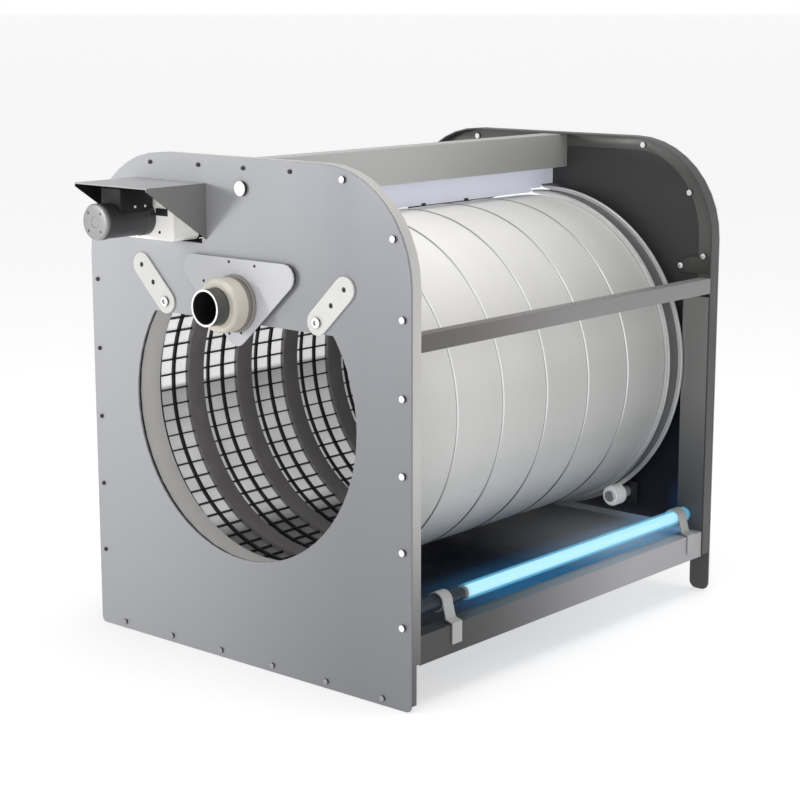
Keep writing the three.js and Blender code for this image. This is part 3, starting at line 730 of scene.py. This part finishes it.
def lattice(i):
    """Grid two cells wide. Behind a hoop, a narrow strip of cloth shows before the first bar."""
    node = f"lattice_{i + 1}"
    x, z, _, y0, y1 = about(node)
    start = y0 + (9.0 * MM if i == 0 else 11.1 * MM)
    border, middle_bar = 3.4 * MM, 4.2 * MM
    middle = (start + border + y1) / 2
    bars = [(y0, y0 + 1 * MM), (start, start + border), (middle - middle_bar / 2, middle + middle_bar / 2)]
    pieces = [bar_ring(x, z, a, b, LATTICE_ROWS * 3) for a, b in bars]
    half = 1.0 * MM / BARS[0]
    for k in range(LATTICE_ROWS):
        pieces.append(row_bar(x, z, y0, y1, 2 * math.pi * k / LATTICE_ROWS, half))
    piece = merged(node + "_grid", pieces, "lattice_plastic")
    outward_normals(piece)
    fit(piece, "drum", "lattice_plastic", node)


def drum_front():
    x, z, outer, y0, y1 = about("drum_front_ring")
    step = y1 - 5 * MM
    profile = [(FRONT_RING_INNER, y0), (FRONT_RING_STEP, y0), (FRONT_RING_STEP, step), (outer, step),
               (outer, y1), (FRONT_RING_INNER, y1)]
    piece = lathe("drum_front_collar", eased(profile, 1.2 * MM), x, z, "ring_steel", 240)
    fit(piece, "drum", "rim_sheet", "drum_front_ring")
    spots = [math.radians(22.5 + 45 * k) for k in range(8)]
    radius = FRONT_RING_STEP - 7 * MM
    places = [(x + radius * math.cos(a), y0 + 0.4 * MM, z + radius * math.sin(a)) for a in spots]
    screws("ring_gear_bolts", places, -ALONG_Y, 3.2 * MM, "bright_steel", "bright_steel", body="drum")


def drum_rear():
    x, z, lip, y0, y1 = about("drum_rear_ring")
    _, _, hoop_outer, _, _ = about(f"hoop_{PANELS}")
    shoulder = y1 - 33 * MM
    front_lip = lip - 5 * MM
    floor = lip - 7 * MM
    edge = 5 * MM
    profile = [(HOOP_INNER, y0), (hoop_outer, y0), (hoop_outer, shoulder),
               (front_lip, shoulder), (front_lip, shoulder + edge),
               (floor, shoulder + edge), (floor, y1 - edge), (lip, y1 - edge), (lip, y1), (HOOP_INNER, y1)]
    piece = lathe("drum_roller_track", eased(profile, 1.0 * MM), x, z, "bright_steel", 240)
    # Painted shade: the floor of the groove is dark.
    repaint(piece, "groove_steel", lambda normal, centre: (
        abs(math.hypot(centre.x - x, centre.z - z) - floor) < 1.5 * MM))
    fit(piece, "drum", "bright_steel", "drum_rear_ring")
    x, z, radius, y0, y1 = about("drum_rear_disc")
    face = [(0, y0), (radius * 0.3, y0), (radius * 0.34, y0 + 1.5 * MM), (radius * 0.8, y0 + 1.5 * MM),
            (radius * 0.84, y0), (radius, y0), (radius, y1), (0, y1)]
    disc = lathe("drum_end_disc", face, x, z, "groove_steel", 192, closed=False)
    fit(disc, "drum", "rear_sheet", "drum_rear_disc")


def drum():
    drum_screen()
    drum_front()
    drum_rear()
    for i in range(PANELS):
        node = f"hoop_{i + 1}"
        ring(node + "_band", node, HOOP_INNER, "hoop_plastic", "hoop_plastic", "drum", 0.8 * MM, 240)
        lattice(i)
    refined("ring_gear", "dark_plastic", "dark_plastic", 0.5 * MM, 2, "drum")


# ---- casing --------------------------------------------------------------------------------------
def casing():
    refined("front_plate", "front_sheet", "front_sheet", 0.7 * MM)
    refined("front_rim", "rim_sheet", "rim_sheet", 0.8 * MM)
    refined("rear_rim", "rear_rim_sheet", "rim_sheet", 0.8 * MM)
    refined("floor_tray", "tray_sheet", "tray_sheet", 0.6 * MM)
    refined("spray_cover", "cover_sheet", "cover_sheet", 0.7 * MM)
    refined("splash_guard", "guard_sheet", "rim_sheet", 0.5 * MM)
    refined("waste_trough", "bright_steel", "bright_steel", 0.6 * MM)
    refined("inlet_seal", "seal_rubber", "seal_rubber", 0.5 * MM)
    plate = refined("rear_plate", "rear_sheet", "rear_sheet", 0.7 * MM)
    repaint(plate, "rear_inside", lambda normal, centre: normal.y < -0.5)
    for side in ("left", "right"):
        refined(f"rear_post_{side}", "post_steel", "rail_steel", 0.7 * MM)
        refined(f"mid_rail_{side}", "mid_rail_steel", "rail_steel", 0.7 * MM)
        refined(f"lower_rail_{side}", "low_rail_steel", "rail_steel", 0.7 * MM)
        # Painted shade: the steel roller brackets take a near-black look.
        refined(f"roller_bracket_{side}", "dark_plastic", "rail_steel", 0.8 * MM)
        refined(f"link_plate_{side}", "link_plastic", "white_plastic", 0.7 * MM)


def arch(inset, z_low, steps=24):
    """Points of the end plates' arch, moved in from its edge, from low on the left to low on the right."""
    radius = CORNER - inset
    centre = Vector((HALF_WIDTH - CORNER, TOP - CORNER))
    right = [(centre.x + radius * math.cos(a), centre.y + radius * math.sin(a))
             for a in (math.pi / 2 * k / steps for k in range(steps, -1, -1))]
    right.append((HALF_WIDTH - inset, z_low))
    return [(-x, z) for x, z in right[::-1]] + right


def rear_lip():
    """Flat lip round the inside of the rear rim, and the gussets above the middle rails."""
    y1 = REAR_LOW.y - 0.4 * MM
    outer, inner = 3.2 * MM, 34 * MM
    low = 470 * MM
    spring, rise = TOP - CORNER, 12 * MM
    bow = [(x, z + rise * max(0.0, z - spring) / (CORNER - inner)) for x, z in arch(inner, low)]
    outline = arch(outer, low) + bow[::-1]
    fit(flat_plate("rear_rim_lip", outline, y1 - 1.6 * MM, y1, "rear_lip_sheet"), "frame", "rim_sheet")
    y = y1 - 2.0 * MM
    for side, name in ((-1, "left"), (1, "right")):
        corners = [(232, 496), (296, 496), (296, 524), (252, 521), (238, 512)]
        points = [(side * x * MM, z * MM) for x, z in corners]
        plate = flat_plate(f"corner_gusset_{name}", points, y - 1.6 * MM, y, "gusset_sheet")
        fit(plate, "frame", "rail_steel")
        spots = [(side * 236 * MM, y - 1.6 * MM, 506 * MM), (side * 276 * MM, y - 1.6 * MM, 523 * MM)]
        screws(f"corner_gusset_screws_{name}", spots, -ALONG_Y, 4.4 * MM)


def plate_screws():
    """Screws round the edge of the front plate, nuts on the rear lip and heads at the back."""
    side_x = HALF_WIDTH - SCREW_INSET
    column = [113 * MM + SCREW_PITCH * i for i in range(5)]
    arch_z = TOP - CORNER
    reach = CORNER - SCREW_INSET
    bow = 0.48
    corner_x, corner_z = HALF_WIDTH - CORNER + reach * math.cos(bow), arch_z + reach * math.sin(bow)
    top_z = TOP - SCREW_INSET
    # Painted light: the heads down the right and at its corner are white as painted highlight, and those on
    # the left and along the top are dark as painted shade.
    bright = [(side_x, z) for z in column] + [(corner_x, corner_z), (187 * MM, top_z - 5 * MM)]
    bottom = [((i - 2.5) * SCREW_PITCH + 2 * MM, 10 * MM) for i in range(6)]
    left = [(-side_x, z) for z in column] + [(-corner_x, corner_z)]
    dim = [(-170 * MM, top_z - 1 * MM), (-75 * MM, top_z), (10 * MM, top_z), (95 * MM, top_z)]
    places = [(x, FRONT_FACE, z) for x, z in bright]
    screws("front_plate_screws_right", places, -ALONG_Y, 4.6 * MM, shape=cap_head, height=0.9)
    places = [(x, FRONT_FACE, z) for x, z in bottom]
    screws("front_plate_screws_bottom", places, -ALONG_Y, 3.8 * MM, "cap_steel", shape=cap_head, height=0.8)
    places = [(x, FRONT_FACE, z) for x, z in left]
    screws("front_plate_screws_left", places, -ALONG_Y, 2.9 * MM, "head_dark", shape=cap_head, height=0.9)
    places = [(x, FRONT_FACE, z) for x, z in dim]
    screws("front_plate_screws_top", places, -ALONG_Y, 2.9 * MM, "head_dark", shape=cap_head, height=0.9)
    nuts = [(-162, 686), (162, 686), (-248, 618), (248, 618)]
    places = [(x * MM, REAR_LOW.y - 2 * MM, z * MM) for x, z in nuts]
    screws("rear_lip_nuts", places, -ALONG_Y, 5.0 * MM, shape=hex_nut)
    places = [(x, REAR_HIGH.y - 0.6 * MM, z) for x, z in bright + left + dim]
    screws("rear_plate_flush_heads", places, ALONG_Y, 4.6 * MM, "cap_steel", shape=cap_head, height=0.2)


# ---- waste outlet --------------------------------------------------------------------------------
def waste_outlet():
    x, z, outer, y0, y1 = about("waste_pipe")
    bore = outer - 3 * MM
    profile = eased([(bore, y0), (outer, y0), (outer, y1), (bore, y1)], 0.5 * MM)
    pipe = lathe("waste_pipe_tube", profile, x, z, "grey_pvc", 128)
    # Painted shade: the pipe's bore is near black.
    repaint(pipe, "head_dark", lambda normal, centre: (
        math.hypot(centre.x - x, centre.z - z) < bore + 0.3 * MM))
    # Painted highlight: the pipe's front end face is white.
    repaint(pipe, "seam_white", lambda normal, centre: normal.y < -0.6)
    fit(pipe, "frame", "grey_pvc", "waste_pipe")

    x, z, radius, y0, y1 = about("waste_coupling")
    bore = outer + 0.3 * MM
    band = y1 - 7 * MM
    body = [(bore, y0), (radius - 2.5 * MM, y0), (radius, y0 + 5 * MM), (radius, band),
            (radius - 0.8 * MM, band + 0.6 * MM), (radius - 0.8 * MM, y1), (bore, y1)]
    coupling = lathe("waste_coupling_sleeve", eased(body, 0.9 * MM), x, z, "cream_plastic", 128)
    repaint(coupling, "taupe_plastic", lambda normal, centre: centre.y > band)
    fit(coupling, "frame", "cream_plastic", "waste_coupling")

    x, z, radius, y0, y1 = about("waste_nut")
    collar = [(bore, y0), (radius - 1 * MM, y0), (radius, y0 + 1 * MM), (radius, y1), (bore, y1)]
    nut = lathe("waste_nut_ring", eased(collar, 0.4 * MM), x, z, "taupe_plastic", 96)
    fit(nut, "frame", "dark_plastic", "waste_nut")

    refined("waste_bracket", "bracket_sheet", "white_plastic", 0.8 * MM)
    low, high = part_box("waste_bracket")
    corners = ((0, 467, -135, -45), (88, 549, -40, 90), (-82, 549, 90, 220))
    pad = []
    for cx, cz, start, end in corners:
        for k in range(9):
            a = math.radians(start + (end - start) * k / 8)
            pad.append(((cx + 15.6 * math.cos(a)) * MM, (cz + 15.6 * math.sin(a)) * MM))
    # A dark rubber pad fills the bracket's stand-off and stands for the painted shade in the gap behind it.
    gasket_shade = flat_plate("waste_bracket_gasket_shade", pad, low.y + 2.9 * MM, high.y - 0.1 * MM, "seal_rubber")
    fit(gasket_shade, "frame", "seal_rubber")
    spots = [(-12, 562), (36, 560), (-61, 532), (9, 468), (-13, 465)]
    places = [(px * MM, low.y, pz * MM) for px, pz in spots]
    screws("waste_bracket_screws", places, -ALONG_Y, 2.0 * MM, "head_dark", height=0.5)


# ---- drive ---------------------------------------------------------------------------------------
def drive():
    hood = refined("motor_hood", "front_sheet", "cover_sheet", 0.5 * MM)
    # Painted shade: the hood's outer side faces are darker than its top.
    repaint(hood, "hood_side", lambda normal, centre: abs(normal.x) > 0.5)
    low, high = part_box("motor_hood")
    middle = (low.x + high.x) / 2
    # Painted shade: the hood's underside and the inner faces of its sides are black.
    repaint(hood, "hood_shade_black", lambda normal, centre: (
        normal.z < -0.5 or abs(normal.x) > 0.5 and normal.x * (centre.x - middle) < 0))
    x, z, radius, y0, y1 = about("motor_body")
    can = [(0, y0), (radius - 1.5 * MM, y0), (radius, y0 + 2 * MM), (radius, y0 + 9 * MM),
           (radius - 0.8 * MM, y0 + 9.8 * MM), (radius - 0.8 * MM, y1 - 12 * MM), (radius, y1 - 11 * MM),
           (radius, y1), (0, y1)]
    shell = lathe("motor_can_shell", can, x, z, "motor_can", 96, closed=False)
    fit(shell, "frame", "motor_can", "motor_body")
    x, z, radius, y0, y1 = about("motor_end_cap")
    cap = [(0, y0 + 1.4 * MM), (radius * 0.28, y0 + 1.4 * MM), (radius * 0.32, y0 + 0.4 * MM),
           (radius * 0.80, y0), (radius * 0.94, y0 + 0.6 * MM), (radius, y0 + 2.4 * MM),
           (radius, y1), (0, y1)]
    shell = lathe("motor_cap_shell", cap, x, z, "cap_steel", 96, closed=False)
    fit(shell, "frame", "bright_steel", "motor_end_cap")
    spots = [math.radians(45 + 90 * k) for k in range(4)]
    reach = radius * 0.7
    places = [(x + reach * math.cos(a), y0 + 0.5 * MM, z + reach * math.sin(a)) for a in spots]
    screws("motor_cap_screws", places, -ALONG_Y, 1.9 * MM, "head_dark", height=0.4)
    terminal_block(x, z + radius)
    gearbox()


def terminal_block(x, z):
    """Box astride the motor, under the hood, black as painted shade, with two contact screws low on its
    side.
    """
    y0, y1 = FRONT_FACE - 84 * MM, FRONT_FACE - 25 * MM
    body = [((x - 14 * MM, y0, z - 11 * MM), (x + 25 * MM, y1, z + 20 * MM))]
    block = rounded_blocks("terminal_block", body, "hood_shade_black", 1.5 * MM)
    fit(block, "frame", "dark_plastic")
    places = [(x + 25 * MM, FRONT_FACE - depth * MM, z - 6 * MM) for depth in (58, 40)]
    screws("terminal_screws", places, (1, 0, 0), 2.0 * MM, "head_white", "head_white", height=0.5)


def gearbox():
    refined("gearbox", "white_plastic", "white_plastic", 1.5 * MM)
    low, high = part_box("gearbox")
    face = low.y
    strip = [((-138.5 * MM, face - 2.2 * MM, 616 * MM), (-116 * MM, face + 0.4 * MM, 626 * MM))]
    fit(rounded_blocks("gearbox_strip", strip, "dark_plastic", 0.8 * MM), "frame", "dark_plastic")
    places = [(high.x - 28 * MM, face, low.z + 11 * MM), (high.x - 9 * MM, face, high.z - 9 * MM),
              (low.x + 9 * MM, face, low.z + 9 * MM), (low.x + 9 * MM, face, high.z - 9 * MM)]
    screws("gearbox_screws", places, -ALONG_Y, 2.2 * MM, "head_dark", height=0.5)
    refined("pinion", "dark_plastic", "dark_plastic", 0.4 * MM, 2, "pinion")
    x, z, radius, y0, y1 = about("pinion_shaft")
    shaft = [(0, y0), (radius, y0), (radius, y1 - 1 * MM), (radius - 1 * MM, y1), (0, y1)]
    piece = lathe("pinion_shaft_steel", shaft, x, z, "bright_steel", 48, closed=False)
    fit(piece, "pinion", "bright_steel", "pinion_shaft")


# ---- wheels and axles ----------------------------------------------------------------------------
def wheel(node, bore, body):
    """A nylon wheel with a rim, a hub and a shallow recess between them on both faces."""
    x, z, radius, y0, y1 = about(node)
    hub, rim = bore + 0.28 * (radius - bore), bore + 0.68 * (radius - bore)
    deep = 2.2 * MM
    side = [(hub, 0), (hub + 0.6 * MM, deep), (rim - 0.6 * MM, deep), (rim, 0)]
    profile = [(bore, y0)] + [(r, y0 + d) for r, d in side] + [(radius, y0), (radius, y1)]
    profile += [(r, y1 - d) for r, d in side[::-1]] + [(bore, y1)]
    piece = lathe(node + "_tread", eased(profile, 0.7 * MM), x, z, "white_plastic", 96)
    fit(piece, body, "white_plastic", node)


def guide_axle(node):
    """Shoulder bolt with a white cap, a hexagon socket, and its side painted dark as shade."""
    x, z, washer, y0, y1 = about(node)
    head, shank = 7 * MM, 5 * MM
    under = y0 + 3 * MM
    wall = FRONT_LOW.y + 3.3 * MM
    wheel_low, wheel_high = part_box(node.replace("axle", "wheel"))
    profile = [(0, y0 + 1.6 * MM), (3 * MM, y0 + 1.6 * MM), (3.2 * MM, y0), (head - 0.6 * MM, y0),
               (head, y0 + 0.6 * MM), (head, under), (shank, under), (shank, wall), (washer, wall),
               (washer, wheel_low.y - 0.3 * MM), (shank, wheel_low.y - 0.3 * MM),
               (shank, wheel_high.y + 0.3 * MM), (washer, wheel_high.y + 0.3 * MM), (washer, y1), (0, y1)]
    piece = lathe(node + "_bolt", profile, x, z, "bright_steel", 64, closed=False)
    repaint(piece, "seam_white", lambda normal, centre: normal.y < -0.5 and centre.y < y0 + 1 * MM)
    repaint(piece, "head_dark", lambda normal, centre: abs(normal.y) < 0.6 and centre.y < under)
    fit(piece, "frame", "bright_steel", node)


def roller_axle(node):
    x, z, collar, y0, y1 = about(node)
    shank = 6 * MM
    wheel_low, wheel_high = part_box(node.replace("roller_axle", "rear_roller"))
    shoulder = y1 - 6.3 * MM
    profile = [(0, y0), (collar - 1 * MM, y0), (collar, y0 + 1 * MM), (collar, wheel_low.y - 0.3 * MM),
               (shank, wheel_low.y - 0.3 * MM), (shank, wheel_high.y + 0.3 * MM),
               (collar, wheel_high.y + 0.3 * MM), (collar, shoulder), (shank, shoulder),
               (shank, y1), (0, y1)]
    piece = lathe(node + "_pin", profile, x, z, "bright_steel", 64, closed=False)
    fit(piece, "frame", "bright_steel", node)


def wheels():
    for side in ("left", "right"):
        wheel(f"guide_wheel_{side}", 5.3 * MM, f"guide_{side}")
        wheel(f"rear_roller_{side}", 6.3 * MM, f"roller_{side}")
        guide_axle(f"guide_axle_{side}")
        roller_axle(f"roller_axle_{side}")
        x, z, _, y0, _ = about(f"guide_axle_{side}")
        sign = -1 if side == "left" else 1
        lean = math.sqrt(0.5)
        places = [(x + sign * lean * reach * MM, FRONT_FACE - 2.4 * MM, z + lean * reach * MM)
                  for reach in (35, 67)]
        screws(f"link_screws_{side}", places, -ALONG_Y, 3.3 * MM, "head_dark", height=0.25)


# ---- spray bar -----------------------------------------------------------------------------------
def spray_bar():
    low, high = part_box("spray_bar")
    x = (low.x + high.x) / 2
    radius = 6.5 * MM
    z = high.z - radius
    profile = [(0, low.y), (radius, low.y), (radius, high.y), (0, high.y)]
    pipe = lathe("spray_bar_pipe", profile, x, z, "bright_steel", 64, closed=False)
    fit(pipe, "frame", "bright_steel", "spray_bar")
    drop = z - low.z
    nozzle = turned_points([
        (0, 0), (5 * MM, 0), (5 * MM, drop * 0.62), (3.6 * MM, drop * 0.72), (3.2 * MM, drop),
        (1.2 * MM, drop), (0.8 * MM, drop - 1.5 * MM), (0, drop - 1.5 * MM),
    ], 24)
    places = [(x, FRONT_FACE + 81 * MM + PANEL_PITCH * i, z) for i in range(PANELS)]
    pieces = [aimed(nozzle, place, (0, 0, -1)) for place in places]
    nozzles = merged("spray_nozzles", pieces, "dark_plastic")
    outward_normals(nozzles)
    fit(nozzles, "frame", "bright_steel")

    x, z, radius, y0, y1 = about("spray_bar_plug")
    face = FRONT_FACE - 0.3 * MM
    head = [(0, y0), (radius - 1.2 * MM, y0), (radius, y0 + 1.2 * MM), (radius, face),
            (6 * MM, face), (6 * MM, y1), (0, y1)]
    plug = lathe("spray_bar_plug_cap", head, x, z, "seam_white", 64, closed=False)
    # Painted shade: the plug's sides are dark, round its white face.
    repaint(plug, "head_dark", lambda normal, centre: abs(normal.y) < 0.5)
    fit(plug, "frame", "white_plastic", "spray_bar_plug")

    low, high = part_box("splash_guard")
    x = high.x
    clips = [((x, y - 4 * MM, low.z - 1.5 * MM), (x + 2.5 * MM, y + 4 * MM, low.z + 3 * MM))
             for y in (seam + 32 * MM for seam in seam_places()[1:-1])]
    fit(rounded_blocks("splash_guard_clips", clips, "dark_plastic", 0.6 * MM), "frame", "dark_plastic")


# ---- lamp ----------------------------------------------------------------------------------------
def lamp():
    """Lit tube with an unlit, capped stretch at each end, in a quartz sleeve held by two clips."""
    x, z, radius, y0, y1 = about("lamp_tube")
    lit = (y0 + LAMP_DARK, y1 - 8 * MM)
    glass = eased([(0, lit[0]), (radius, lit[0]), (radius, lit[1]), (0, lit[1])], 2 * MM, closed=False)
    lit_glass = lathe("lamp_lit_glass", glass, x, z, "lamp_glow", 64, closed=False)
    fit(lit_glass, "frame", "lamp_glow", "lamp_tube")
    cap = radius + 0.4 * MM
    base = [(0, y0), (cap, y0), (cap, y0 + 22 * MM), (radius, y0 + 23 * MM), (radius, lit[0] - 6 * MM),
            (cap, lit[0] - 5 * MM), (cap, lit[0] - 0.2 * MM), (0, lit[0] - 0.2 * MM)]
    socket = lathe("lamp_socket", base, x, z, "dark_plastic", 64, closed=False)
    bands = (y0 + 23 * MM, lit[0] - 6 * MM)
    repaint(socket, "cap_steel", lambda normal, centre: centre.y > bands[1] or centre.y < bands[0])
    fit(socket, "frame", "dark_plastic")
    tip = [(0, lit[1] + 0.2 * MM), (cap, lit[1] + 0.2 * MM), (cap, y1), (0, y1)]
    fit(lathe("lamp_tip_cap", tip, x, z, "cap_steel", 64, closed=False), "frame", "bright_steel")

    x, z, outer, y0, y1 = about("quartz_sleeve")
    inner = outer - 1.5 * MM
    sleeve = [(inner, y0), (outer, y0), (outer, y1 - 6 * MM), (outer * 0.8, y1 - 1.5 * MM), (0, y1),
              (0, y1 - 1.5 * MM), (inner * 0.8, y1 - 3 * MM), (inner, y1 - 7 * MM)]
    fit(lathe("quartz_sleeve_glass", sleeve, x, z, "quartz", 96), "frame", "quartz", "quartz_sleeve")
    for place in ("front", "rear"):
        refined(f"lamp_clip_{place}", "clip_steel", "rail_steel", 0.5 * MM)


def set_camera():
    azimuth, elevation, distance = math.radians(40.61), math.radians(11.44), 2.8914
    target = Vector((0.0142, 0.0065, 0.3281))
    back = Vector((
        math.sin(azimuth) * math.cos(elevation),
        -math.cos(azimuth) * math.cos(elevation),
        math.sin(elevation),
    ))
    data = bpy.data.cameras.new("camera")
    data.sensor_width = 36.0
    data.lens = 88.57
    camera = bpy.data.objects.new("camera", data)
    bpy.context.scene.collection.objects.link(camera)
    camera.location = target + back * distance
    camera.rotation_euler = back.to_track_quat("Z", "Y").to_euler()
    bpy.context.scene.camera = camera


def area_light(name, place, aim, size, power, color=(1, 1, 1)):
    data = bpy.data.lights.new(name, "AREA")
    data.shape = "DISK"
    data.size = size
    data.energy = power
    data.color = color
    light = bpy.data.objects.new(name, data)
    bpy.context.scene.collection.objects.link(light)
    light.location = place
    direction = Vector(aim) - Vector(place)
    light.rotation_euler = direction.to_track_quat("-Z", "Y").to_euler()


def set_lights():
    world = bpy.data.worlds.new("studio")
    bpy.context.scene.world = world
    world.use_nodes = True
    sky = world.node_tree.nodes["Background"]
    sky.inputs["Color"].default_value = (1.0, 1.0, 1.0, 1.0)
    sky.inputs["Strength"].default_value = 0.62
    bpy.context.scene.view_settings.view_transform = "Standard"
    area_light("key", (-1.9, -3.4, 0.95), (0, -0.3, 0.45), 0.5, 36)
    area_light("top", (0.5, 0.0, 2.8), (0, 0, 0.4), 1.8, 32, (1.0, 0.98, 0.95))
    area_light("inlet_fill", (1.7, -2.6, 0.9), (-0.2, 0.0, 0.35), 1.0, 6)


def set_floor():
    """Pale floor, and a pale wall far away that closes the horizon."""
    finish = Finish("studio_floor", (0.50, 0.50, 0.50), 0.8)
    finish.set("Emission Color", (1.0, 1.0, 1.0, 1.0))
    finish.set("Emission Strength", 0.58)
    finish.vary_roughness(finish.noise(2.0, 3.0), 0.05)
    bpy.ops.mesh.primitive_plane_add(size=400, location=(0, 0, 0))
    floor = bpy.context.object
    floor.name = "floor"
    bpy.ops.mesh.primitive_cylinder_add(
        vertices=128, radius=190, depth=30, end_fill_type="NOTHING", location=(0, 0, 14.9))
    wall = bpy.context.object
    wall.name = "far_wall"
    for piece in (floor, wall):
        piece.data.materials.append(finish.material)


set_camera()
set_lights()
set_floor()
drum()
casing()
rear_lip()
plate_screws()
waste_outlet()
drive()
wheels()
spray_bar()
lamp()
